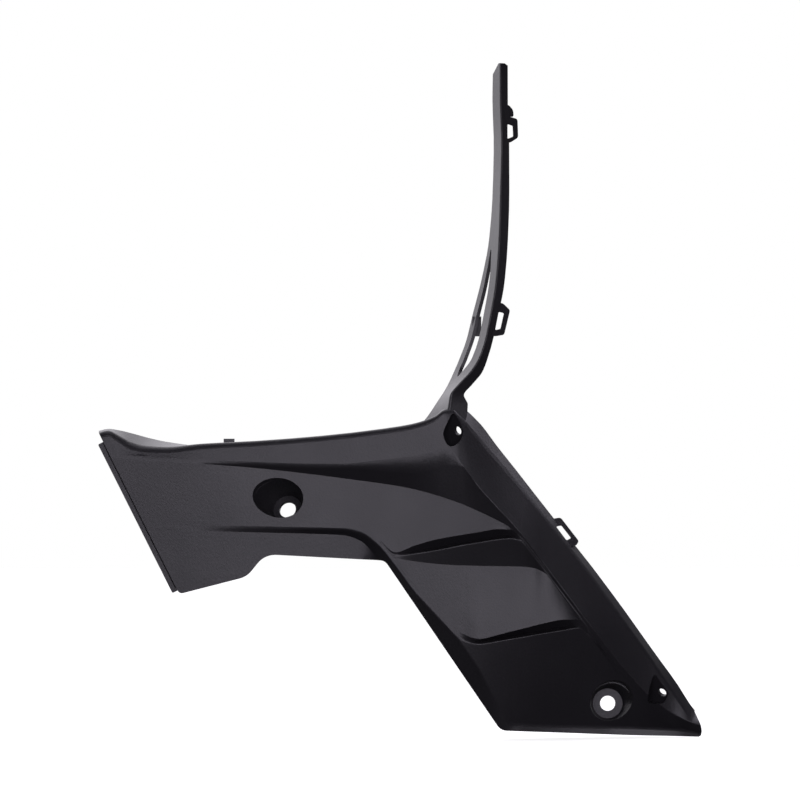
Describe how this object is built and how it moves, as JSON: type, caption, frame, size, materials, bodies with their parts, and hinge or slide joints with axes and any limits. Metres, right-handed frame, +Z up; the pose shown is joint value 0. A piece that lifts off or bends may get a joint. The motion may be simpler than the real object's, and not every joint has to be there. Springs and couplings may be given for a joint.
{
  "type": "side footboard",
  "caption": "Moulded black side footboard of a scooter, with stepped faces, a bolt well, screw pockets and a slotted arm with clip loops rising to the leg shield.",
  "frame": {"origin": "middle of the lower bolt hole, on the seat that its washer rests on", "axes": "+X forward along the scooter, +Y inward to the middle of the scooter, +Z up; the bolt leaves along -Y"},
  "size_m": [0.3938, 0.0533, 0.4395],
  "materials": {
    "panel": "fine matt grain, moulded in black"
  },
  "bodies": {
    "root": {"side_footboard": "panel"}
  },
  "joints": []
}
